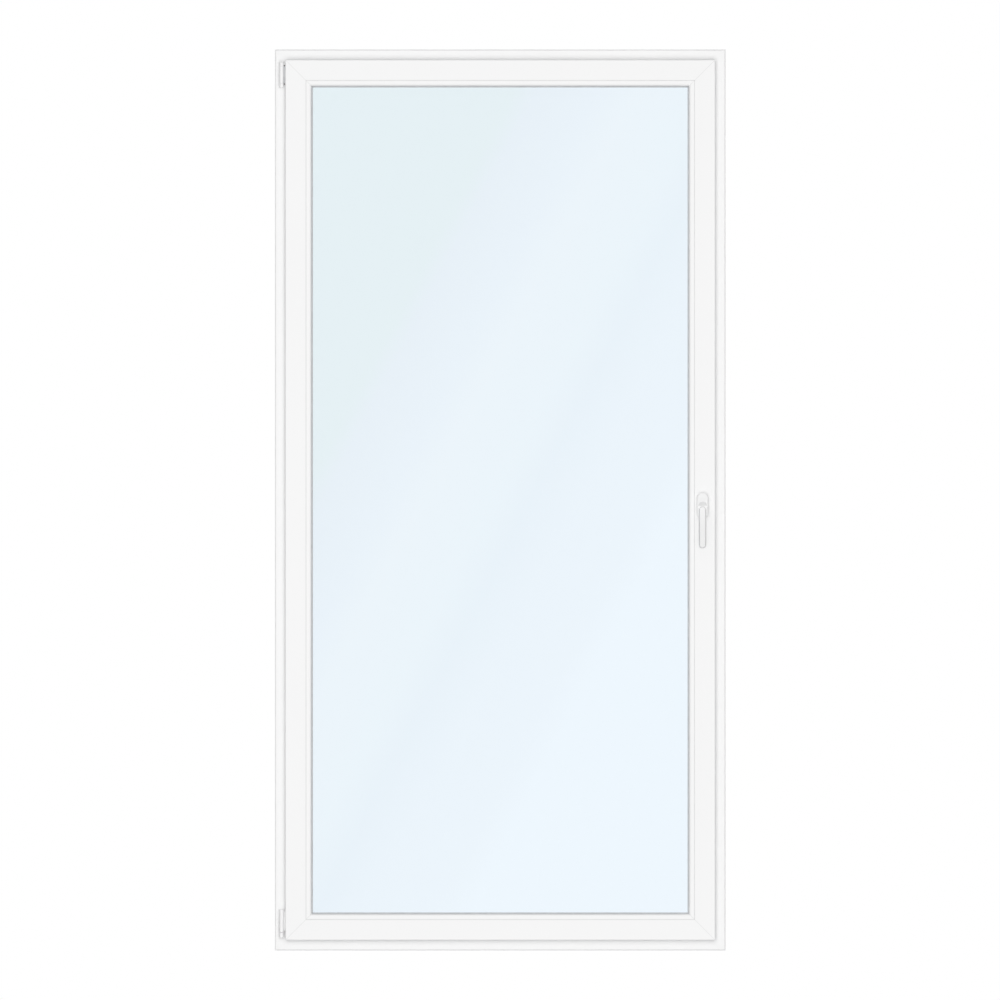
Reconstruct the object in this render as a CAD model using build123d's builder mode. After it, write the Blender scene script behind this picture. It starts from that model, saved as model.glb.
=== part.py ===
from build123d import *
import os
from math import asin, cos, radians, sin

# A single-leaf french window in white plastic profiles, hinged on the left as seen from the room.
#
# The frame is four mitred lengths of one section, and so are the leaf, its glazing beads and the seals.
# The leaf swings into the room about the vertical line of the corner hinges. It also tilts in at the top
# about the lower hinge, held by a stay arm. One lever turns in its rosette and slides the locking bar.
#
# Frame of reference, in millimetres: +X runs from the hinge side to the lock side, +Y from the room to
# the outside, +Z up. The origin is on the underside of the sill, in the middle of its length and depth.
# A section is drawn with its depth along local x and its distance in from the perimeter along local y.

os.makedirs("parts", exist_ok=True)

# Overall size of the frame
frame_width = 1200
frame_height = 2400
frame_depth = 70

# What the room side shows, from the perimeter inwards
reveal = 27.5
leaf_face_width = 54.9
bead_width = 14.9
seal_sight = 3.8

# Frame section
frame_corner_radius = 4
rebate_gap = 12
leaf_lip_overlap = 20
stop_overlap = 8
stop_gap = 5
stop_flat = 7
stop_slope_drop = 8
drain_channel_width = 7
drain_channel_depth = 4
back_groove_width = 8
back_groove_depth = 4
back_groove_offset = 23
fixing_radius = 5
fixing_depth_position = -6
fixing_count = 4
fixing_end_distance = 200

# Leaf section
lip_gap = 5
lip_thickness = 13
leaf_edge_radius = 2
leaf_corner_radius = 4
leaf_body_depth = 52
outer_leg_thickness = 10
outer_leg_slope = 4
groove_axis_depth = 13
faceplate_width = 16
faceplate_thickness = 2.5
bar_groove_width = 12
bar_groove_depth = 7.5

# Glazing
pane_thickness = 4
cavity = 16
glass_edge_gap = 5
glazing_seal_thickness = 3
seal_height = 11
spacer_height = 7
edge_seal_height = 3
bead_recess = 0.8
bead_round_radius = 8
bead_seam = 0.6
bead_foot_width = 4
bead_foot_depth = 5
bead_foot_play = 0.2

# Gaskets between leaf and frame
gasket_play = 0.8
gasket_base = 5
gasket_root_width = 3
gasket_root_depth = 3
gasket_root_play = 0.1

# Hinges
hinge_axis_in = 17
hinge_radius = 5.8
hinge_face_gap = 2.7
hinge_edge_bevel = 1
hinge_pin_radius = 2.5
hinge_pin_play = 0.25
lower_bracket_bottom = 33.6
lower_bracket_height = 13.4
lower_knuckle_gap = 1.5
lower_knuckle_height = 60
pivot_foot_radius = 4
pivot_height = 36
pivot_pin_rise = 12
pivot_bore_play = 1.8
strap_thickness = 3
strap_height = 52
strap_reach = 26
strap_end_inset = 4
seal_notch_play = 3
upper_bearing_top_down = 33.6
upper_bearing_height = 67.2
upper_knuckle_top_down = 45
upper_knuckle_height = 44.8
knuckle_end_gap = 0.5
hinge_cover_wall = 1.6
hinge_cover_play = 0.1
knuckle_web_width = 2.8
hinge_plate_back = 4.5
hinge_plate_reach = 10
hinge_plate_thickness = 1.5

# Stay arm along the top of the leaf
stay_reach = 420
stay_width = 16
stay_thickness = 3
stay_lift = 2
stay_tab_inset = 0.8
stay_tab_thickness = 2.2
stay_tab_reach = 27.5
stay_riser_width = 7
stay_straight_from = 60
stay_pin_radius = 3
stay_pin_length = 4
stay_slot_play = 2.2
stay_slot_end_play = 8
leaf_tilt_deg = 3.7

# Locking bar, cams and keeps
bar_width = 11
bar_thickness = 5
bar_end_distance = 150
bar_travel = 36
cam_radius = 5.5
cam_neck_radius = 4
cam_rise = 8.5
cam_heights = (380, 960, 1450, 2020)
cam_slot_play = 0.8
keep_plate_length = 62
keep_plate_width = 15
keep_plate_thickness = 2
keep_lip_length = 30
keep_lip_thickness = 3
keep_lip_height = 6
keep_lip_clearance = 3
keep_edge_inset = 1

# Handle
handle_height = 1184
handle_from_edge = 61
rosette_width = 30
rosette_length = 71
rosette_thickness = 11
rosette_edge_bevel = 1.5
handle_gap = 0.5
neck_radius = 11.9
neck_end_setback = 4
grip_projection = 46
grip_width = 20
grip_thickness = 13
grip_drop = 114
grip_top_rise = 0.5
grip_front_bevel = 3.3
grip_side_bevel = 5
grip_back_bevel = 3
grip_lean_deg = 4
shoulder_depth = 15
shoulder_drop = 3.5
spindle_size = 7
spindle_length = 30
spindle_bore_length = 20
spindle_bore_radius = 6
spindle_play = 0.25

# Drainage through the sill
drain_slot_length = 28
drain_slot_height = 5
drain_slot_up = 24
drain_positions = (-400, 0, 400)
drain_cap_length = 40
drain_cap_height = 14
drain_cap_thickness = 5
drain_cap_bevel = 1.5

# Depths that several pieces share
room_face = -frame_depth / 2
outside_face = frame_depth / 2
lip_back = room_face - lip_gap
leaf_room_face = lip_back - lip_thickness
leaf_outside_face = lip_back + leaf_body_depth
stop_face = leaf_outside_face + stop_gap
groove_axis = lip_back + groove_axis_depth
leg_inner_face = leaf_outside_face - outer_leg_thickness
outer_pane_face = leg_inner_face - glazing_seal_thickness
inner_pane_face = outer_pane_face - 2 * pane_thickness - cavity
bead_back = inner_pane_face - glazing_seal_thickness
bead_face = leaf_room_face + bead_recess
bead_foot_axis = bead_back - 8

# Distances in from the perimeter that several pieces share
leaf_edge = reveal
leaf_body_edge = leaf_edge + leaf_lip_overlap
rebate_base = leaf_body_edge - rebate_gap
stop_edge = leaf_body_edge + stop_overlap
glass_rebate = leaf_edge + leaf_face_width
bead_edge = glass_rebate + bead_width
sightline = bead_edge + seal_sight
glass_edge = glass_rebate + glass_edge_gap
groove_floor = leaf_body_edge + faceplate_thickness

# Hinge line and tilt line
hinge_x = -frame_width / 2 + hinge_axis_in
hinge_y = room_face - hinge_face_gap - hinge_radius
handle_x = frame_width / 2 - handle_from_edge

# The four sides, each with the middle of its outer edge, the way it runs and its length
SIDES = {
    "bottom": (Vector(0, 0, 0), Vector(1, 0, 0), frame_width),
    "lock": (Vector(frame_width / 2, 0, frame_height / 2), Vector(0, 0, 1), frame_height),
    "top": (Vector(0, 0, frame_height), Vector(-1, 0, 0), frame_width),
    "hinge": (Vector(-frame_width / 2, 0, frame_height / 2), Vector(0, 0, -1), frame_height),
}
DEPTH = Vector(0, 1, 0)


def save(piece, name):
    """Label a finished piece and write it under its node's name."""
    piece.part.label = name
    export_step(piece.part, f"parts/{name}.step")


def outline(points, radii=0):
    """A closed section through the points, rounded where a radius is given."""
    with BuildSketch() as section:
        with BuildLine():
            FilletPolyline(*points, radius=radii, close=True)
        make_face()
    return section


def band(depth_from, depth_to, edge_from, edge_to):
    """A rectangular section between two depths and two distances from the perimeter."""
    near = [(depth_from, edge_from), (depth_to, edge_from)]
    far = [(depth_to, edge_to), (depth_from, edge_to)]
    return outline(near + far)


def side_plane(side):
    """The plane across a side, with x outwards through the wall and y in towards the glass."""
    origin, run, _ = SIDES[side]
    return Plane(origin=origin, x_dir=DEPTH, z_dir=run)


def mitre_planes(side):
    """The two planes that cut a side's ends at 45 degrees, facing what is kept."""
    origin, run, length = SIDES[side]
    inwards = run.cross(DEPTH)
    for way in (run, run * -1):
        yield Plane(origin=origin - way * (length / 2), x_dir=DEPTH, z_dir=way - inwards)


def mitred(side, section, corner_radius=0):
    """One length of a section along a side, mitred at both ends, with its outer corners rounded if asked."""
    length = SIDES[side][2]
    outer_width = frame_width - 2 * leaf_edge
    outer_height = frame_height - 2 * leaf_edge
    with BuildPart() as bar:
        with BuildSketch(side_plane(side)):
            add(section.sketch)
        extrude(amount=length / 2, both=True)
        for plane in mitre_planes(side):
            split(bisect_by=plane)
        if corner_radius:
            with BuildSketch(Plane.XZ):
                with Locations((0, frame_height / 2)):
                    RectangleRounded(outer_width, outer_height, corner_radius)
            extrude(amount=frame_depth, both=True, mode=Mode.INTERSECT)
    return bar


def ring(section):
    """A section carried round all four sides as one piece."""
    with BuildPart() as whole:
        for side in SIDES:
            add(mitred(side, section).part)
    return whole


def frame_section():
    """The outer frame: a grooved back, a rebate with a drain channel, and the outside stop."""
    channel = rebate_base - drain_channel_depth
    points = [
        (room_face, 0),
        (outside_face, 0),
        (outside_face, stop_edge - stop_slope_drop),
        (stop_face + stop_flat, stop_edge),
        (stop_face, stop_edge),
        (stop_face, channel),
        (stop_face - drain_channel_width, channel),
        (stop_face - drain_channel_width, rebate_base),
        (room_face, rebate_base),
    ]
    radii = [frame_corner_radius, frame_corner_radius, 1, 1, 0.6, 0, 0, 0.6, 1]
    profile = outline(points, radii)
    root_edge = stop_edge - gasket_base
    with BuildSketch() as section:
        add(profile.sketch)
        for depth in (-back_groove_offset, back_groove_offset):
            with Locations((depth, back_groove_depth / 2)):
                Rectangle(back_groove_width, back_groove_depth, mode=Mode.SUBTRACT)
        with Locations((stop_face + gasket_root_depth / 2, root_edge)):
            Rectangle(gasket_root_depth, gasket_root_width, mode=Mode.SUBTRACT)
    return section


def leaf_section():
    """The leaf: the lip that laps the frame, the fittings groove, the glass rebate and its outer leg."""
    points = [
        (leaf_room_face, leaf_edge),
        (lip_back, leaf_edge),
        (lip_back, leaf_body_edge),
        (leaf_outside_face, leaf_body_edge),
        (leaf_outside_face, bead_edge - outer_leg_slope),
        (leaf_outside_face - outer_leg_slope, bead_edge),
        (leg_inner_face, bead_edge),
        (leg_inner_face, glass_rebate),
        (leaf_room_face, glass_rebate),
    ]
    radii = [leaf_edge_radius, 1.5, 0, 1.5, 1, 1, 0.6, 0, bead_seam]
    profile = outline(points, radii)
    lip_root_edge = leaf_edge + gasket_base
    groove_middle = leaf_body_edge + faceplate_thickness / 2
    bar_middle = groove_floor + bar_groove_depth / 2
    with BuildSketch() as section:
        add(profile.sketch)
        with Locations((groove_axis, groove_middle)):
            Rectangle(faceplate_width, faceplate_thickness, mode=Mode.SUBTRACT)
        with Locations((groove_axis, bar_middle)):
            Rectangle(bar_groove_width, bar_groove_depth, mode=Mode.SUBTRACT)
        with Locations((bead_foot_axis, glass_rebate - bead_foot_depth / 2)):
            Rectangle(bead_foot_width, bead_foot_depth, mode=Mode.SUBTRACT)
        with Locations((lip_back - gasket_root_depth / 2, lip_root_edge)):
            Rectangle(gasket_root_depth, gasket_root_width, mode=Mode.SUBTRACT)
    return section


def bead_section():
    """The glazing bead: a flat face that rounds back to the glass, and a foot that clips into the leaf."""
    foot_half = bead_foot_width / 2 - bead_foot_play
    foot_end = glass_rebate - bead_foot_depth + bead_foot_play
    points = [
        (bead_face, glass_rebate),
        (bead_foot_axis - foot_half, glass_rebate),
        (bead_foot_axis - foot_half, foot_end),
        (bead_foot_axis + foot_half, foot_end),
        (bead_foot_axis + foot_half, glass_rebate),
        (bead_back, glass_rebate),
        (bead_back, bead_edge),
        (bead_face, bead_edge),
    ]
    radii = [bead_seam, 0, 0, 0, 0, 0, 0.5, bead_round_radius]
    return outline(points, radii)


def gasket_section(face, towards, edge_middle, reach):
    """A sealing lip that is rooted in a groove in a face and bulges across the gap in front of it."""
    root_half = gasket_root_width / 2 - gasket_root_play
    root_end = face - towards * (gasket_root_depth - gasket_root_play)
    tip = face + towards * reach
    points = [
        (root_end, edge_middle - root_half),
        (face, edge_middle - root_half),
        (face, edge_middle - root_half - 1.4),
        (tip, edge_middle - 0.6),
        (tip, edge_middle + 1.4),
        (face, edge_middle + root_half + 1.4),
        (face, edge_middle + root_half),
        (root_end, edge_middle + root_half),
    ]
    return outline(points, [0, 0, 0, 0.8, 0.8, 0, 0, 0])


def make_frame():
    """The four frame members, with fixing holes in the uprights and drain slots through the sill."""
    section = frame_section()
    pitch = (frame_height - 2 * fixing_end_distance) / (fixing_count - 1)
    for side in ("lock", "hinge"):
        member = mitred(side, section)
        edge_middle, run, _ = SIDES[side]
        face = Plane(origin=edge_middle, x_dir=DEPTH, z_dir=DEPTH.cross(run))
        with BuildPart() as upright:
            add(member.part)
            with BuildSketch(face):
                with Locations((fixing_depth_position, 0)):
                    with GridLocations(1, pitch, 1, fixing_count):
                        Circle(fixing_radius)
            extrude(amount=-stop_edge, mode=Mode.SUBTRACT)
        save(upright, f"frame_upright_{side}_side")
    save(mitred("top", section), "frame_head")
    sill_bar = mitred("bottom", section)
    slot_depth = outside_face - stop_face + drain_channel_width / 2
    with BuildPart() as sill:
        add(sill_bar.part)
        with BuildSketch(Plane.XZ.offset(-outside_face)):
            for x in drain_positions:
                with Locations((x, drain_slot_up + drain_slot_height / 2)):
                    Rectangle(drain_slot_length, drain_slot_height)
        extrude(amount=slot_depth, mode=Mode.SUBTRACT)
    save(sill, "frame_sill")


def make_drain_caps():
    """A rounded cap over each drain slot, open at its lower edge."""
    with BuildPart() as caps:
        with BuildSketch(Plane.XZ.offset(-outside_face)):
            for x in drain_positions:
                with Locations((x, drain_slot_up + drain_slot_height / 2)):
                    SlotOverall(drain_cap_length, drain_cap_height)
        extrude(amount=-drain_cap_thickness)
        chamfer(caps.faces().sort_by(Axis.Y)[-1].edges(), drain_cap_bevel)
    save(caps, "drain_caps")


def make_leaf():
    """The four leaf members and the four glazing beads."""
    section = leaf_section()
    bead = bead_section()
    names = {
        "bottom": "leaf_bottom_rail",
        "lock": "leaf_lock_stile",
        "top": "leaf_top_rail",
        "hinge": "leaf_hinge_stile",
    }
    for side, name in names.items():
        bar = mitred(side, section, leaf_corner_radius)
        with BuildPart() as member:
            add(bar.part)
            if side == "lock":
                with BuildSketch(Plane.XZ.offset(-leaf_room_face)):
                    with Locations((handle_x, handle_height)):
                        Circle(spindle_bore_radius)
                extrude(amount=-spindle_bore_length, mode=Mode.SUBTRACT)
        save(member, name)
        save(mitred(side, bead), f"glazing_bead_{side}")


def pane(depth, name):
    """One sheet of glass, with its room face at the given depth."""
    with BuildPart() as sheet:
        with BuildSketch(Plane.XZ.offset(-depth)):
            with Locations((0, frame_height / 2)):
                Rectangle(frame_width - 2 * glass_edge, frame_height - 2 * glass_edge)
        extrude(amount=-pane_thickness)
    save(sheet, name)


def make_glazing():
    """The double-glazed unit and the two seals that grip it."""
    pane(inner_pane_face, "pane_room_side")
    pane(outer_pane_face - pane_thickness, "pane_outside")
    cavity_from = inner_pane_face + pane_thickness
    cavity_to = outer_pane_face - pane_thickness
    spacer_edge = glass_edge + edge_seal_height
    save(ring(band(cavity_from, cavity_to, glass_edge, spacer_edge)), "glass_edge_seal")
    save(ring(band(cavity_from, cavity_to, spacer_edge, spacer_edge + spacer_height)), "glass_spacer")
    seal_from = sightline - seal_height
    save(ring(band(bead_back, inner_pane_face, seal_from, sightline)), "glazing_seal_room_side")
    save(ring(band(outer_pane_face, leg_inner_face, seal_from, sightline)), "glazing_seal_outside")


def make_gaskets():
    """The seal on the frame's stop, and the one on the leaf's lip, notched where the stay passes."""
    stop_seal = gasket_section(stop_face, -1, stop_edge - gasket_base, stop_gap - gasket_play)
    save(ring(stop_seal), "frame_stop_gasket")
    lip_seal = ring(gasket_section(lip_back, 1, leaf_edge + gasket_base, lip_gap - gasket_play))
    knuckle_top = frame_height - upper_knuckle_top_down
    strap_bottom = lower_bracket_bottom + lower_bracket_height + lower_knuckle_gap + strap_end_inset
    notch_x = -frame_width / 2 + leaf_edge + gasket_base
    notches = {
        strap_bottom + strap_height / 2: strap_height + 2 * seal_notch_play,
        knuckle_top - upper_knuckle_height / 2: upper_knuckle_height + 2 * seal_notch_play,
    }
    with BuildPart() as seal:
        add(lip_seal.part)
        for middle, height in notches.items():
            with Locations((notch_x, lip_back, middle)):
                Box(3 * gasket_base, 4 * lip_gap, height, mode=Mode.SUBTRACT)
    save(seal, "leaf_lip_gasket")


def make_lower_hinge():
    """The corner bracket on the frame, the pivot pin that stands in it and the knuckle on the leaf."""
    centre = (hinge_x, hinge_y)
    bracket_top = lower_bracket_bottom + lower_bracket_height
    foot_bottom = lower_bracket_bottom + hinge_cover_wall
    plate_width = hinge_plate_back + hinge_plate_reach
    with BuildPart() as bracket:
        with BuildSketch(Plane.XY.offset(lower_bracket_bottom)):
            with Locations(centre):
                Circle(hinge_radius)
        extrude(amount=lower_bracket_height)
        chamfer(bracket.faces().sort_by(Axis.Z)[0].edges(), hinge_edge_bevel)
        with BuildSketch(Plane.XY.offset(lower_bracket_bottom)):
            with Locations((hinge_x, (hinge_y + room_face) / 2)):
                Rectangle(2 * hinge_plate_back, room_face - hinge_y)
            with Locations((hinge_x - hinge_plate_back, room_face)):
                Rectangle(plate_width, hinge_plate_thickness, align=(Align.MIN, Align.MAX))
        extrude(amount=lower_bracket_height)
        with BuildSketch(Plane.XY.offset(foot_bottom)):
            with Locations(centre):
                Circle(pivot_foot_radius + hinge_pin_play)
        extrude(amount=bracket_top - foot_bottom, mode=Mode.SUBTRACT)
    save(bracket, "lower_hinge_bracket")

    with BuildPart() as pin:
        with BuildSketch(Plane.XY.offset(foot_bottom)):
            with Locations(centre):
                Circle(pivot_foot_radius)
        extrude(amount=bracket_top - foot_bottom)
        with BuildSketch(Plane.XY.offset(foot_bottom)):
            with Locations(centre):
                Circle(hinge_pin_radius)
        extrude(amount=bracket_top + pivot_pin_rise - foot_bottom)
        chamfer(pin.faces().sort_by(Axis.Z)[-1].edges(), 0.6)
    save(pin, "lower_hinge_pivot_pin")

    knuckle_bottom = bracket_top + lower_knuckle_gap
    bore_top = bracket_top + pivot_pin_rise + 2
    strap_edge_x = -frame_width / 2 + leaf_body_edge
    with BuildPart() as knuckle:
        with BuildSketch(Plane.XY.offset(knuckle_bottom)):
            with Locations(centre):
                Circle(hinge_radius)
        extrude(amount=lower_knuckle_height)
        chamfer(knuckle.faces().sort_by(Axis.Z)[-1].edges(), hinge_edge_bevel)
        with BuildSketch(Plane.XY.offset(knuckle_bottom + strap_end_inset)):
            with Locations((hinge_x, lip_back)):
                Rectangle(strap_edge_x - hinge_x, strap_thickness, align=(Align.MIN, Align.MIN))
            with Locations((strap_edge_x, lip_back)):
                Rectangle(strap_thickness, strap_reach, align=(Align.MAX, Align.MIN))
        extrude(amount=strap_height)
        with BuildSketch(Plane.XY.offset(knuckle_bottom)):
            with Locations(centre):
                Circle(hinge_pin_radius + pivot_bore_play)
        extrude(amount=bore_top - knuckle_bottom, mode=Mode.SUBTRACT)
    save(knuckle, "lower_hinge_knuckle")


def make_upper_hinge():
    """The bearing on the frame, its pin and the stay arm whose knuckle turns between the two ears."""
    centre = (hinge_x, hinge_y)
    bearing_top = frame_height - upper_bearing_top_down
    bearing_bottom = bearing_top - upper_bearing_height
    knuckle_top = frame_height - upper_knuckle_top_down
    knuckle_bottom = knuckle_top - upper_knuckle_height
    plate_width = hinge_plate_back + hinge_plate_reach
    with BuildPart() as bearing:
        with BuildSketch(Plane.XY.offset(bearing_bottom)):
            with Locations(centre):
                Circle(hinge_radius)
        extrude(amount=upper_bearing_height)
        ends = bearing.faces().filter_by(Axis.Z)
        chamfer(ends.edges(), hinge_edge_bevel)
        with BuildSketch(Plane.XY.offset(bearing_bottom)):
            with Locations((hinge_x, (hinge_y + room_face) / 2)):
                Rectangle(2 * hinge_plate_back, room_face - hinge_y)
            with Locations((hinge_x - hinge_plate_back, room_face)):
                Rectangle(plate_width, hinge_plate_thickness, align=(Align.MIN, Align.MAX))
        extrude(amount=upper_bearing_height)
        with BuildSketch(Plane.XY.offset(knuckle_bottom - knuckle_end_gap)):
            with Locations((hinge_x, room_face - hinge_plate_thickness)):
                Rectangle(4 * hinge_plate_reach, 4 * hinge_radius, align=(Align.CENTER, Align.MAX))
        extrude(amount=upper_knuckle_height + 2 * knuckle_end_gap, mode=Mode.SUBTRACT)
        with BuildSketch(Plane.XY.offset(bearing_bottom + 3)):
            with Locations(centre):
                Circle(hinge_pin_radius)
        extrude(amount=upper_bearing_height - 6, mode=Mode.SUBTRACT)
    save(bearing, "upper_hinge_bearing")

    with BuildPart() as pin:
        with BuildSketch(Plane.XY.offset(bearing_bottom + 3)):
            with Locations(centre):
                Circle(hinge_pin_radius)
        extrude(amount=upper_bearing_height - 6)
    save(pin, "upper_hinge_pin")

    cover_bore = hinge_radius - hinge_cover_wall
    arm_bottom = frame_height - leaf_body_edge + stay_lift
    tab_y = lip_back + stay_tab_inset
    tab_back = tab_y + stay_tab_thickness
    tab_end = hinge_x + stay_tab_reach
    riser_x = tab_end - stay_riser_width
    near = groove_axis - stay_width / 2
    far = groove_axis + stay_width / 2
    with BuildPart() as arm:
        with BuildSketch(Plane.XY.offset(knuckle_bottom)):
            with Locations(centre):
                Circle(cover_bore - hinge_cover_play)
                Rectangle(knuckle_web_width, tab_back - hinge_y, align=(Align.CENTER, Align.MIN))
            with Locations((hinge_x, tab_y)):
                Rectangle(stay_tab_reach, stay_tab_thickness, align=(Align.MIN, Align.MIN))
        extrude(amount=upper_knuckle_height)
        with BuildSketch(Plane.XY.offset(knuckle_bottom)):
            with Locations((riser_x, tab_y)):
                Rectangle(stay_riser_width, stay_tab_thickness, align=(Align.MIN, Align.MIN))
        extrude(amount=arm_bottom + stay_thickness - knuckle_bottom)
        with BuildSketch(Plane.XY.offset(arm_bottom)):
            with BuildLine():
                Polyline(
                    (riser_x, tab_y),
                    (tab_end, tab_y),
                    (hinge_x + stay_straight_from, near),
                    (hinge_x + stay_reach, near),
                    (hinge_x + stay_reach, far),
                    (hinge_x + stay_straight_from - stay_width / 2, far),
                    (riser_x, tab_back),
                    close=True,
                )
            make_face()
            with Locations((hinge_x + stay_reach, groove_axis)):
                Circle(stay_width / 2)
        extrude(amount=stay_thickness)
        with BuildSketch(Plane.XY.offset(arm_bottom)):
            with Locations((hinge_x + stay_reach, groove_axis)):
                Circle(stay_pin_radius)
        extrude(amount=-stay_pin_length)
        with BuildSketch(Plane.XY.offset(knuckle_bottom)):
            with Locations(centre):
                Circle(hinge_pin_radius + hinge_pin_play)
        extrude(amount=upper_knuckle_height, mode=Mode.SUBTRACT)
    save(arm, "stay_arm")

    web_slot = knuckle_web_width + 4 * hinge_cover_play
    behind = (Align.CENTER, Align.MIN)
    with BuildPart() as cover:
        with BuildSketch(Plane.XY.offset(knuckle_bottom)):
            with Locations(centre):
                Circle(hinge_radius)
                Circle(cover_bore, mode=Mode.SUBTRACT)
                Rectangle(web_slot, 2 * hinge_radius, align=behind, mode=Mode.SUBTRACT)
            with Locations((hinge_x, tab_y - 2 * hinge_cover_play)):
                Rectangle(4 * hinge_radius, hinge_radius, align=behind, mode=Mode.SUBTRACT)
        extrude(amount=upper_knuckle_height)
    save(cover, "upper_hinge_knuckle_cover")


def make_faceplates():
    """The plate that guides the stay along the top, and the one that the cams pass through."""
    leaf_top = frame_height - leaf_body_edge
    plate_half = frame_width / 2 - leaf_body_edge - 10
    tilt_height = leaf_top - pivot_height
    stay_turn = asin(tilt_height * sin(radians(leaf_tilt_deg)) / stay_reach)
    turned_reach = stay_reach * cos(stay_turn) + (groove_axis - hinge_y) * sin(stay_turn)
    slot_x = hinge_x + (stay_reach + turned_reach) / 2
    stay_slot_width = 2 * (stay_pin_radius + stay_slot_play)
    stay_slot_length = stay_reach - turned_reach + stay_slot_width + stay_slot_end_play
    with BuildPart() as guide:
        with BuildSketch(Plane.XY.offset(leaf_top)):
            with Locations((0, groove_axis)):
                Rectangle(2 * plate_half, faceplate_width)
            with Locations((slot_x, groove_axis)):
                SlotOverall(stay_slot_length, stay_slot_width, mode=Mode.SUBTRACT)
        extrude(amount=-faceplate_thickness)
    save(guide, "stay_guide_plate")

    leaf_lock_x = frame_width / 2 - leaf_body_edge
    slot_width = 2 * (cam_neck_radius + cam_slot_play)
    slot_length = bar_travel + slot_width
    with BuildPart() as plate:
        with BuildSketch(Plane.YZ.offset(leaf_lock_x)):
            with Locations((groove_axis, frame_height / 2)):
                Rectangle(faceplate_width, frame_height - 2 * leaf_body_edge - 20)
            for height in cam_heights:
                with Locations((groove_axis, height + bar_travel / 2)):
                    SlotOverall(slot_length, slot_width, rotation=90, mode=Mode.SUBTRACT)
        extrude(amount=-faceplate_thickness)
    save(plate, "lock_faceplate")


def make_locking_bar():
    """The flat bar in the leaf's groove, and the round cams that it carries past the keeps."""
    bar_x = frame_width / 2 - groove_floor
    bar_length = frame_height - 2 * bar_end_distance
    bar_play = (bar_groove_width - bar_width) / 2
    with BuildPart() as bar:
        with BuildSketch(Plane.YZ.offset(bar_x - bar_play)):
            with Locations((groove_axis, frame_height / 2)):
                Rectangle(bar_width, bar_length)
        extrude(amount=-bar_thickness)
    save(bar, "locking_bar")

    leaf_lock_x = frame_width / 2 - leaf_body_edge
    with BuildPart() as cams:
        with BuildSketch(Plane.YZ.offset(bar_x - bar_play)):
            for height in cam_heights:
                with Locations((groove_axis, height)):
                    Circle(cam_neck_radius)
        extrude(amount=faceplate_thickness + bar_play + 1)
        with BuildSketch(Plane.YZ.offset(leaf_lock_x + 1)):
            for height in cam_heights:
                with Locations((groove_axis, height)):
                    Circle(cam_radius)
        extrude(amount=cam_rise - 1)
    save(cams, "locking_cams")


def make_keeps():
    """A keep for each cam: a plate on the frame with a lip that stands clear of the cam's way in."""
    base_x = frame_width / 2 - rebate_base
    lip_y = room_face + keep_edge_inset
    plate_y = lip_y + keep_plate_width / 2
    with BuildPart() as keeps:
        with BuildSketch(Plane.YZ.offset(base_x)):
            for height in cam_heights:
                with Locations((plate_y, height - cam_radius - keep_lip_clearance)):
                    Rectangle(keep_plate_width, keep_plate_length)
        extrude(amount=-keep_plate_thickness)
        with BuildSketch(Plane.YZ.offset(base_x - keep_plate_thickness)):
            for height in cam_heights:
                with Locations((lip_y, height - cam_radius - keep_lip_clearance - keep_lip_length)):
                    Rectangle(keep_lip_thickness, keep_lip_length, align=(Align.MIN, Align.MIN))
        extrude(amount=keep_plate_thickness - keep_lip_height)
    save(keeps, "lock_keeps")


def make_handle():
    """The rosette on the leaf, and the lever with its square spindle."""
    face_plane = Plane.XZ.offset(-leaf_room_face)
    spindle_half = spindle_size / 2 + spindle_play
    with BuildPart() as rosette:
        with BuildSketch(face_plane):
            with Locations((handle_x, handle_height)):
                SlotOverall(rosette_length, rosette_width, rotation=90)
        extrude(amount=rosette_thickness)
        chamfer(rosette.faces().sort_by(Axis.Y)[0].edges(), rosette_edge_bevel)
        with BuildSketch(face_plane):
            with Locations((handle_x, handle_height)):
                Circle(spindle_half * 2**0.5)
        extrude(amount=rosette_thickness, mode=Mode.SUBTRACT)
    save(rosette, "handle_rosette")

    neck_start = leaf_room_face - rosette_thickness - handle_gap
    grip_front = neck_start - grip_projection
    lean = radians(grip_lean_deg)
    grip_face = Plane(
        origin=(handle_x, grip_front, handle_height),
        x_dir=(1, 0, 0),
        z_dir=(0, -cos(lean), -sin(lean)),
    )
    with BuildPart() as grip:
        with BuildSketch(grip_face):
            with Locations((0, (grip_top_rise - grip_drop) / 2)):
                SlotOverall(grip_drop + grip_top_rise, grip_width, rotation=90)
        extrude(amount=-grip_thickness)
        front = grip.faces().sort_by(Axis.Y)[0]
        chamfer(front.edges(), grip_front_bevel, grip_side_bevel, reference=front)
        chamfer(grip.faces().sort_by(Axis.Y)[-1].edges(), grip_back_bevel)

    with BuildPart() as lever:
        with BuildSketch(Plane.XZ.offset(-neck_start)):
            with Locations((handle_x, handle_height)):
                Circle(neck_radius)
        extrude(amount=grip_projection - neck_end_setback)
        shoulder = Plane(
            origin=(handle_x, grip_front, handle_height - shoulder_drop),
            x_dir=(1, 0, 0),
            z_dir=(0, -(neck_radius + shoulder_drop), shoulder_depth),
        )
        split(bisect_by=shoulder, keep=Keep.BOTTOM)
        add(grip.part)
        with BuildSketch(Plane.XZ.offset(-neck_start)):
            with Locations((handle_x, handle_height)):
                Rectangle(spindle_size, spindle_size)
        extrude(amount=-spindle_length)
    save(lever, "handle_lever")


make_frame()
make_drain_caps()
make_leaf()
make_glazing()
make_gaskets()
make_lower_hinge()
make_upper_hinge()
make_faceplates()
make_locking_bar()
make_keeps()
make_handle()
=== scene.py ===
import math

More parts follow.
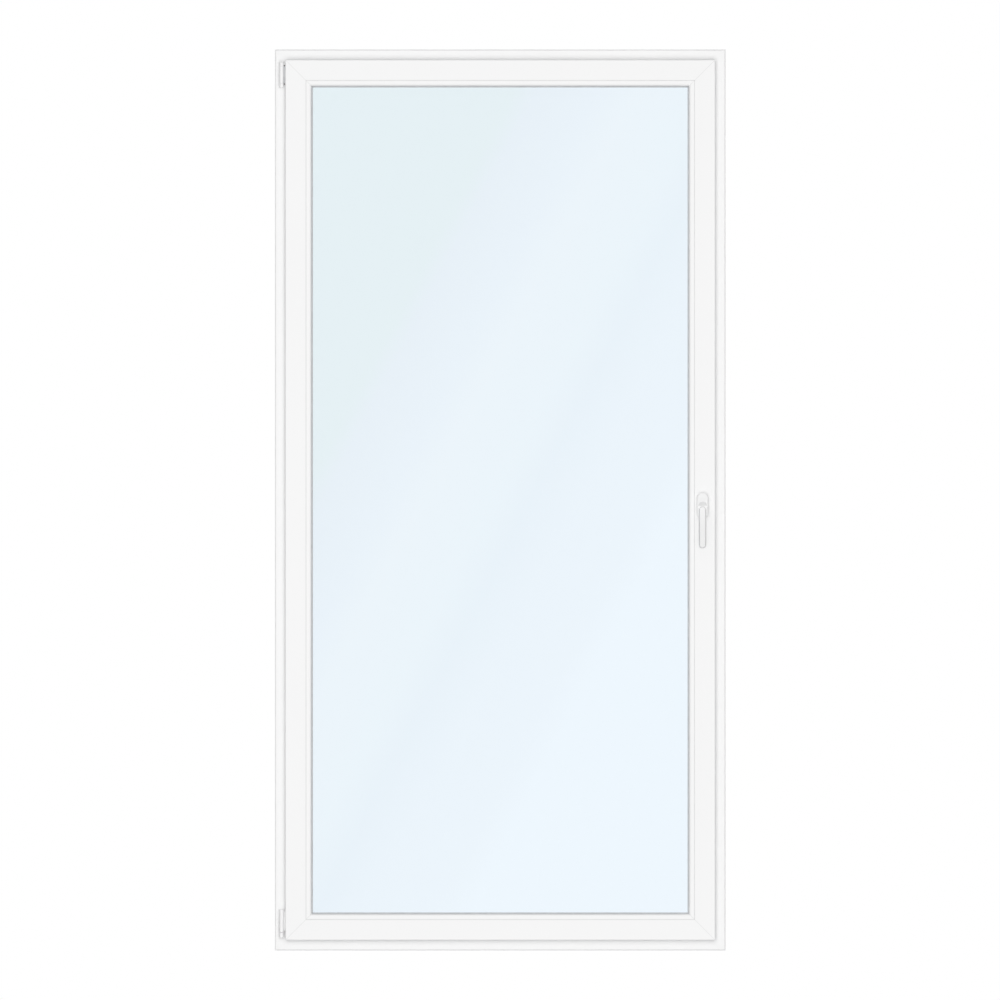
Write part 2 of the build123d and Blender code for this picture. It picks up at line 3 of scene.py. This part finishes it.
import bmesh
import bpy
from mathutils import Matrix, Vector


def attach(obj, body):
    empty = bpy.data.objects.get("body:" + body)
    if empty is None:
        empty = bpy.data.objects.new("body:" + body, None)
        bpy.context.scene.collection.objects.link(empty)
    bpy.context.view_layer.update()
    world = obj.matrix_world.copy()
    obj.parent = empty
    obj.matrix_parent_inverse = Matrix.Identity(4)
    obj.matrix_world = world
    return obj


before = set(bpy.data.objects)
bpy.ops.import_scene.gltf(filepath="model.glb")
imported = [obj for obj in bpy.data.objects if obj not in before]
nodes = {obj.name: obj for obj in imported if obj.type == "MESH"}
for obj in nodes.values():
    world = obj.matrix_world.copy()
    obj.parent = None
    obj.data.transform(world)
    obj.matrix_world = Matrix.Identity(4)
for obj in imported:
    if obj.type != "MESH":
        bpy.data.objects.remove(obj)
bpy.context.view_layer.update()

# The window's sizes in metres, shared with the CAD model
WIDTH = 1.2
HEIGHT = 2.4
PANE_LEFT = 0.4988  # from the middle out to the visible glass's left edge
PANE_TOP = 2.2974
BEAD_SEAM_INSET = 0.0824  # from the frame's edge in to the seam between leaf and bead
LEVER_TOP = 1.195
LEVER_LENGTH = 0.125

# Painted shade along the weld grooves and along the seam between leaf and bead: half widths in
# metres, and how much each darkens the white
WELD_HALF_WIDTH = 0.0012
WELD_PAINTED_SHADE = 0.12
SEAM_HALF_WIDTH = 0.0009
SEAM_PAINTED_SHADE = 0.2

# The two screws in the upper hinge's base plate
SCREW_X = -0.5750
SCREW_BACK = -0.0363
SCREW_HEIGHTS = (2.3571, 2.3082)
SCREW_RADIUS = 0.0018
SCREW_RISE = 0.0008
SCREW_SIDES = 32
SCREW_BEVEL = 0.0002
SCREW_RECESS_REACH = 0.001
SCREW_RECESS_WIDTH = 0.0005
SCREW_RECESS_DEPTH = 0.0005

# Painted reflection in the room-side glass, as slanting bands: where each begins, across them in
# metres, and its tint
BAND_SLOPE = 0.521
BAND_SPAN = 2.2
ROOM_SIDE_PAINTED_REFLECTION = [
    (0.540, (0.815, 0.893, 0.918)),
    (0.600, (0.832, 0.893, 0.942)),
    (0.760, (0.848, 0.910, 0.961)),
    (0.860, (0.866, 0.926, 0.969)),
    (1.050, (0.860, 0.926, 0.969)),
    (1.150, (0.843, 0.909, 0.960)),
    (1.280, (0.861, 0.923, 0.974)),
    (1.470, (0.866, 0.928, 0.979)),
    (1.560, (0.881, 0.944, 0.996)),
]

# The studio
FLOOR_RADIUS = 6.0
FLOOR_DROP = 0.0015  # below the sill, so that the two faces don't flicker
FLOOR_TONE = 0.86
FLOOR_LIFT = 0.34  # added to the lit floor for the camera alone, so it is pale and keeps its shadow
FLOOR_FADE = (0.25, 0.85)  # shares of the radius between which the floor turns white
WORLD_LIGHT = 0.37
VIEW_WIDTH = 2.6643  # what the square picture spans
CAMERA_PLACE = (-0.0007, -6.0, 1.2)

# Sockets of the Mix node that hold colours
MIX_A = 6
MIX_B = 7
MIX_RESULT = 2


class Tree:
    """A short way to add and join shader nodes in one material."""

    def __init__(self, name):
        self.material = bpy.data.materials.new(name)
        self.material.use_nodes = True
        self.nodes = self.material.node_tree.nodes
        self.links = self.material.node_tree.links
        self.nodes.clear()
        self.output = self.nodes.new("ShaderNodeOutputMaterial")

    def add(self, kind, **settings):
        node = self.nodes.new(kind)
        for key, value in settings.items():
            setattr(node, key, value)
        return node

    def join(self, source, target):
        self.links.new(source, target)

    def math(self, operation, first, second=None):
        node = self.add("ShaderNodeMath", operation=operation)
        for place, value in enumerate((first, second)):
            if value is None:
                continue
            if isinstance(value, (int, float)):
                node.inputs[place].default_value = value
            else:
                self.join(value, node.inputs[place])
        return node.outputs[0]

    def noise(self, vector, scale, detail=2.0):
        node = self.add("ShaderNodeTexNoise")
        node.inputs["Scale"].default_value = scale
        node.inputs["Detail"].default_value = detail
        self.join(vector, node.inputs["Vector"])
        return node.outputs["Fac"]

    def ramp(self, source, stops):
        node = self.add("ShaderNodeValToRGB")
        while len(node.color_ramp.elements) < len(stops):
            node.color_ramp.elements.new(0.5)
        for element, (position, color) in zip(node.color_ramp.elements, stops):
            element.position = position
            element.color = (*color, 1.0)
        self.join(source, node.inputs["Fac"])
        return node.outputs["Color"]

    def bump(self, height, strength, distance, below=None):
        """The normal of a relief, laid over another normal if one is given."""
        node = self.add("ShaderNodeBump")
        node.inputs["Strength"].default_value = strength
        node.inputs["Distance"].default_value = distance
        self.join(height, node.inputs["Height"])
        if below is not None:
            self.join(below, node.inputs["Normal"])
        return node.outputs["Normal"]

    def principled(self, color, normal=None, **values):
        """The surface, from a colour or a colour's socket and from named constants."""
        node = self.add("ShaderNodeBsdfPrincipled")
        for key, value in values.items():
            node.inputs[key.replace("_", " ")].default_value = value
        if isinstance(color, tuple):
            node.inputs["Base Color"].default_value = (*color, 1.0)
        else:
            self.join(color, node.inputs["Base Color"])
        if normal is not None:
            self.join(normal, node.inputs["Normal"])
        self.join(node.outputs[0], self.output.inputs["Surface"])

    def place(self):
        """Object coordinates, which are the row frame in metres."""
        return self.add("ShaderNodeTexCoord").outputs["Object"]

    def split(self, vector):
        """The X, Y and Z sockets of a vector."""
        node = self.add("ShaderNodeSeparateXYZ")
        self.join(vector, node.inputs[0])
        return node.outputs


def grey(tone):
    return (tone,) * 3


def shade(tone, spread):
    """Two greys either side of a tone."""
    return grey(tone - spread), grey(tone + spread)


def distances(tree):
    """How far a point lies in from the nearer upright's edge, and from the sill or head's edge."""
    split = tree.split(tree.place())
    in_x = tree.math("SUBTRACT", WIDTH / 2, tree.math("ABSOLUTE", split["X"]))
    from_middle = tree.math("ABSOLUTE", tree.math("SUBTRACT", split["Z"], HEIGHT / 2))
    return in_x, tree.math("SUBTRACT", HEIGHT / 2, from_middle)


def line(tree, distance, half_width):
    """0 within a line's half width of a zero distance, and 1 beyond it."""
    scaled = tree.math("DIVIDE", tree.math("ABSOLUTE", distance), half_width)
    return tree.ramp(scaled, [(0.6, grey(0.0)), (1.0, grey(1.0))])


def darkened(tree, color, mask, amount):
    """The colour, multiplied down where the mask is 0."""
    mix = tree.add("ShaderNodeMix", data_type="RGBA", blend_type="MULTIPLY")
    mix.inputs["Factor"].default_value = amount
    tree.join(color, mix.inputs[MIX_A])
    tree.join(mask, mix.inputs[MIX_B])
    return mix.outputs[MIX_RESULT]


def white_profile(name, tone, welded):
    """Extruded white plastic: a fine moulded skin and, where members are welded, a cleaned weld
    groove in relief with painted shade along it, and painted shade along the seam between leaf and
    bead.
    """
    tree = Tree(name)
    place = tree.place()
    dark, light = shade(tone, 0.004)
    color = tree.ramp(tree.noise(place, 3.0, 3.0), [(0.3, dark), (0.7, light)])
    normal = tree.bump(tree.noise(place, 900.0), 0.05, 0.0002)
    if welded:
        in_x, in_z = distances(tree)
        # Painted shade: the weld groove is darkened in the colour, and its relief comes from the
        # bump below
        weld = line(tree, tree.math("SUBTRACT", in_x, in_z), WELD_HALF_WIDTH)
        color = darkened(tree, color, weld, WELD_PAINTED_SHADE)
        normal = tree.bump(weld, 0.25, 0.0004, normal)
        # Painted shade: a dark line where the bead meets the leaf, in place of the shade in the gap
        # between them
        inset = tree.math("MINIMUM", in_x, in_z)
        seam = line(tree, tree.math("SUBTRACT", inset, BEAD_SEAM_INSET), SEAM_HALF_WIDTH)
        color = darkened(tree, color, seam, SEAM_PAINTED_SHADE)
    tree.principled(color, normal, Roughness=0.38, IOR=1.46)
    return tree.material


def white_coating(name, tone):
    """Powder coat on the fittings: a little orange peel under an even gloss."""
    tree = Tree(name)
    place = tree.place()
    dark, light = shade(tone, 0.004)
    color = tree.ramp(tree.noise(place, 40.0), [(0.35, dark), (0.65, light)])
    peel = tree.bump(tree.noise(place, 1400.0, 1.0), 0.06, 0.0001)
    tree.principled(color, peel, Roughness=0.3, IOR=1.5)
    return tree.material


def grip_coat_painted_shade(name, top, tip):
    """The same coat on the lever, with painted shade that turns it a little greyer towards the tip.
    """
    tree = Tree(name)
    place = tree.place()
    down = tree.math("SUBTRACT", LEVER_TOP, tree.split(place)["Z"])
    share = tree.math("DIVIDE", down, LEVER_LENGTH)
    # Painted shade: the colour darkens from the lever's top to its tip
    color = tree.ramp(share, [(0.2, grey(top)), (0.6, grey(tip))])
    peel = tree.bump(tree.noise(place, 1400.0, 1.0), 0.06, 0.0001)
    tree.principled(color, peel, Roughness=0.32, IOR=1.5)
    return tree.material


def sealing_rubber(name, dark, light):
    """Extruded rubber: matt, with a faint chalky variation along it."""
    tree = Tree(name)
    place = tree.place()
    color = tree.ramp(tree.noise(place, 60.0, 3.0), [(0.35, dark), (0.65, light)])
    skin = tree.bump(tree.noise(place, 2500.0), 0.15, 0.0001)
    tree.principled(color, skin, Roughness=0.65, IOR=1.5)
    return tree.material


def bright_steel(name):
    """Zinc-plated steel: metal with fine rolling marks and cloudy gloss."""
    tree = Tree(name)
    place = tree.place()
    clouds = [(0.3, (0.56, 0.57, 0.59)), (0.7, (0.68, 0.69, 0.70))]
    color = tree.ramp(tree.noise(place, 90.0, 3.0), clouds)
    stretch = tree.add("ShaderNodeMapping")
    stretch.inputs["Scale"].default_value = (1.0, 1.0, 0.06)
    tree.join(place, stretch.inputs["Vector"])
    marks = tree.bump(tree.noise(stretch.outputs[0], 1800.0), 0.12, 0.0001)
    tree.principled(color, marks, Metallic=1.0, Roughness=0.32)
    return tree.material


def black_steel(name):
    """Blackened steel of the hinge's screws."""
    tree = Tree(name)
    tone = tree.ramp(tree.noise(tree.place(), 300.0), [(0.3, grey(0.06)), (0.7, grey(0.11))])
    tree.principled(tone, Metallic=0.6, Roughness=0.45)
    return tree.material


def spacer_metal(name):
    """The drilled aluminium spacer between the panes."""
    tree = Tree(name)
    place = tree.place()
    clouds = [(0.3, (0.66, 0.67, 0.68)), (0.7, (0.74, 0.75, 0.76))]
    color = tree.ramp(tree.noise(place, 50.0), clouds)
    dots = tree.add("ShaderNodeTexVoronoi")
    dots.inputs["Scale"].default_value = 300.0
    tree.join(place, dots.inputs["Vector"])
    drilled = tree.bump(dots.outputs["Distance"], 0.1, 0.0002)
    tree.principled(color, drilled, Metallic=1.0, Roughness=0.45)
    return tree.material


def across_glass(tree):
    """Distance in metres across the painted reflection's slanting bands, from the pane's top left
    corner.
    """
    split = tree.split(tree.place())
    from_left = tree.math("ADD", split["X"], PANE_LEFT)
    below_top = tree.math("SUBTRACT", PANE_TOP, split["Z"])
    return tree.math("ADD", from_left, tree.math("MULTIPLY", below_top, BAND_SLOPE))


def glass_with_painted_reflection(name, bands):
    """Clear float glass with a painted reflection: its faint blue tint changes in slanting pale
    bands across the sheet.
    """
    tree = Tree(name)
    across = tree.math("DIVIDE", across_glass(tree), BAND_SPAN)
    # Painted reflection: the slanting bands are laid into the glass's tint
    color = tree.ramp(across, [(place / BAND_SPAN, tint) for place, tint in bands])
    tree.principled(color, Roughness=0.0, IOR=1.5, Transmission_Weight=1.0)
    return tree.material


def plain_glass(name, tint):
    """Clear float glass of one tint."""
    tree = Tree(name)
    tree.principled(tint, Roughness=0.0, IOR=1.5, Transmission_Weight=1.0)
    return tree.material


def dress(names, material):
    """Gives the named CAD nodes this material and no other."""
    for name in names:
        mesh = nodes[name].data
        mesh.materials.clear()
        mesh.materials.append(material)


def dress_nodes():
    """The finish of every CAD node."""
    sides = ("bottom", "lock", "top", "hinge")
    frame_members = [
        "frame_sill", "frame_head", "frame_upright_lock_side", "frame_upright_hinge_side",
    ]
    leaf_members = ["leaf_bottom_rail", "leaf_top_rail", "leaf_lock_stile", "leaf_hinge_stile"]
    fittings = [
        "drain_caps", "upper_hinge_bearing", "lower_hinge_bracket", "lower_hinge_knuckle",
        "upper_hinge_knuckle_cover",
    ]
    metal = [
        "lock_keeps", "upper_hinge_pin", "lower_hinge_pivot_pin", "lock_faceplate",
        "stay_guide_plate", "stay_arm", "locking_bar", "locking_cams",
    ]
    seals = [
        "frame_stop_gasket", "leaf_lip_gasket", "glazing_seal_room_side", "glazing_seal_outside",
    ]
    dress(frame_members, white_profile("frame_plastic", 0.90, False))
    dress(leaf_members, white_profile("leaf_plastic", 0.90, True))
    dress([f"glazing_bead_{side}" for side in sides], white_profile("bead_plastic", 0.90, True))
    dress(fittings, white_coating("white_powder_coat", 0.90))
    dress(["handle_rosette"], white_coating("rosette_powder_coat", 0.86))
    dress(["handle_lever"], grip_coat_painted_shade("lever_coat_painted_shade", 0.87, 0.82))
    dress(metal, bright_steel("zinc_plated_steel"))
    rubber = sealing_rubber("grey_sealing_rubber", (0.58, 0.60, 0.62), (0.63, 0.65, 0.67))
    dress(seals, rubber)
    dress(["glass_edge_seal"], sealing_rubber("black_edge_sealant", grey(0.015), grey(0.03)))
    dress(["glass_spacer"], spacer_metal("spacer_aluminium"))
    dress(["pane_room_side"], glass_with_painted_reflection("room_side_glass_painted_reflection", ROOM_SIDE_PAINTED_REFLECTION))
    dress(["pane_outside"], plain_glass("outside_glass", (0.97, 0.985, 0.995)))
    # The photograph's light throws no broad shadow of the lever on the leaf
    nodes["handle_lever"].visible_shadow = False


def screw_mesh(name):
    """A low screw head: its back at zero, its face towards +Z, a bevelled rim and a cross recess."""
    form = bmesh.new()

    def ring(points, height):
        return [form.verts.new((x, y, height)) for x, y in points]

    def circle(radius):
        turns = [2 * math.pi * step / SCREW_SIDES for step in range(SCREW_SIDES)]
        return [(radius * math.cos(turn), radius * math.sin(turn)) for turn in turns]

    def outline(corners):
        return [form.edges.get(pair) for pair in zip(corners, corners[1:] + corners[:1])]

    def wall(low, high):
        for step in range(len(low)):
            form.faces.new((low[step - 1], low[step], high[step], high[step - 1]))

    reach, half = SCREW_RECESS_REACH, SCREW_RECESS_WIDTH / 2
    quarter = [(reach, -half), (reach, half), (half, half)]
    cross = []
    for _ in range(4):
        cross += quarter
        quarter = [(-y, x) for x, y in quarter]
    back = ring(circle(SCREW_RADIUS), 0)
    edge = ring(circle(SCREW_RADIUS), SCREW_RISE - SCREW_BEVEL)
    rim = ring(circle(SCREW_RADIUS - SCREW_BEVEL), SCREW_RISE)
    mouth = ring(cross, SCREW_RISE)
    bed = ring(cross, SCREW_RISE - SCREW_RECESS_DEPTH)
    wall(back, edge)
    wall(edge, rim)
    wall(bed, mouth)
    form.faces.new(back)
    form.faces.new(bed)
    bmesh.ops.triangle_fill(form, use_beauty=True, edges=outline(rim) + outline(mouth))
    bmesh.ops.recalc_face_normals(form, faces=form.faces)
    mesh = bpy.data.meshes.new(name)
    form.to_mesh(mesh)
    form.free()
    return mesh


def make_hinge_screws():
    """Two dark screws in the upper hinge's base plate."""
    steel = black_steel("blackened_steel")
    for place, height in zip(("top", "bottom"), SCREW_HEIGHTS):
        mesh = screw_mesh(f"screw_{place}")
        mesh.materials.append(steel)
        screw = bpy.data.objects.new(f"upper_hinge_screw_{place}", mesh)
        bpy.context.collection.objects.link(screw)
        screw.location = (SCREW_X, SCREW_BACK, height)
        screw.rotation_euler = (math.radians(90), 0, 0)
        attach(screw, "frame")


def make_floor():
    """A pale floor that keeps the shadow and fades to the white around it."""
    bpy.ops.mesh.primitive_circle_add(
        vertices=96, radius=FLOOR_RADIUS, fill_type="NGON", location=(0, 0, -FLOOR_DROP)
    )
    floor = bpy.context.object
    floor.name = "studio_floor"
    tree = Tree("pale_floor")
    length = tree.add("ShaderNodeVectorMath", operation="LENGTH")
    tree.join(tree.place(), length.inputs[0])
    share = tree.math("DIVIDE", length.outputs["Value"], FLOOR_RADIUS)
    near, far = FLOOR_FADE
    fade = tree.ramp(share, [(near, grey(0.0)), (far, grey(1.0))])
    ground = tree.add("ShaderNodeBsdfDiffuse")
    ground.inputs["Color"].default_value = (*grey(FLOOR_TONE), 1.0)
    seen = tree.add("ShaderNodeLightPath").outputs["Is Camera Ray"]
    lift = tree.add("ShaderNodeEmission")
    tree.join(tree.math("MULTIPLY", seen, FLOOR_LIFT), lift.inputs["Strength"])
    paler = tree.add("ShaderNodeAddShader")
    tree.join(ground.outputs[0], paler.inputs[0])
    tree.join(lift.outputs[0], paler.inputs[1])
    glow = tree.add("ShaderNodeEmission")
    tree.join(seen, glow.inputs["Strength"])
    mix = tree.add("ShaderNodeMixShader")
    tree.join(fade, mix.inputs["Fac"])
    tree.join(paler.outputs[0], mix.inputs[1])
    tree.join(glow.outputs[0], mix.inputs[2])
    tree.join(mix.outputs[0], tree.output.inputs["Surface"])
    floor.data.materials.append(tree.material)
    floor.visible_shadow = False
    floor.visible_diffuse = False
    floor.visible_glossy = False
    floor.visible_transmission = False


def make_world(level):
    """White to the camera, in glass and in gloss, and a plain pale light on everything else."""
    world = bpy.data.worlds.new("studio")
    bpy.context.scene.world = world
    world.use_nodes = True
    tree = world.node_tree
    tree.nodes.clear()
    path = tree.nodes.new("ShaderNodeLightPath")
    seen = tree.nodes.new("ShaderNodeMath")
    seen.operation = "MAXIMUM"
    tree.links.new(path.outputs["Is Camera Ray"], seen.inputs[0])
    tree.links.new(path.outputs["Is Transmission Ray"], seen.inputs[1])
    also = tree.nodes.new("ShaderNodeMath")
    also.operation = "MAXIMUM"
    tree.links.new(seen.outputs[0], also.inputs[0])
    tree.links.new(path.outputs["Is Glossy Ray"], also.inputs[1])
    strength = tree.nodes.new("ShaderNodeMapRange")
    strength.inputs["To Min"].default_value = level
    strength.inputs["To Max"].default_value = 1.0
    tree.links.new(also.outputs[0], strength.inputs["Value"])
    background = tree.nodes.new("ShaderNodeBackground")
    background.inputs["Color"].default_value = (1.0, 1.0, 1.0, 1.0)
    tree.links.new(strength.outputs[0], background.inputs["Strength"])
    output = tree.nodes.new("ShaderNodeOutputWorld")
    tree.links.new(background.outputs[0], output.inputs["Surface"])


def area_light(name, place, target, size, power):
    """A soft light of a width and height at a place, turned to a target."""
    data = bpy.data.lights.new(name, "AREA")
    data.shape = "RECTANGLE"
    data.size, data.size_y = size
    data.energy = power
    lamp = bpy.data.objects.new(name, data)
    bpy.context.collection.objects.link(lamp)
    lamp.location = place
    lamp.visible_camera = False
    lamp.visible_glossy = False
    lamp.visible_transmission = False
    direction = Vector(target) - Vector(place)
    lamp.rotation_euler = direction.to_track_quat("-Z", "Y").to_euler()


def make_camera():
    """The photograph's own view: level, from the room, without perspective."""
    data = bpy.data.cameras.new("camera")
    data.type = "ORTHO"
    data.ortho_scale = VIEW_WIDTH
    camera = bpy.data.objects.new("camera", data)
    bpy.context.collection.objects.link(camera)
    camera.location = CAMERA_PLACE
    camera.rotation_euler = (math.radians(90), 0, 0)
    bpy.context.scene.camera = camera


dress_nodes()
make_hinge_screws()
make_floor()
make_world(WORLD_LIGHT)
middle = (0, 0, HEIGHT / 2)
area_light("front_softbox", place=(-0.1, -8.0, 1.2), target=middle, size=(8.4, 13.0), power=638)
area_light("back_softbox", place=(0, 8.0, 2.4), target=middle, size=(3.0, 3.0), power=340)
make_camera()
bpy.context.scene.view_settings.view_transform = "Standard"
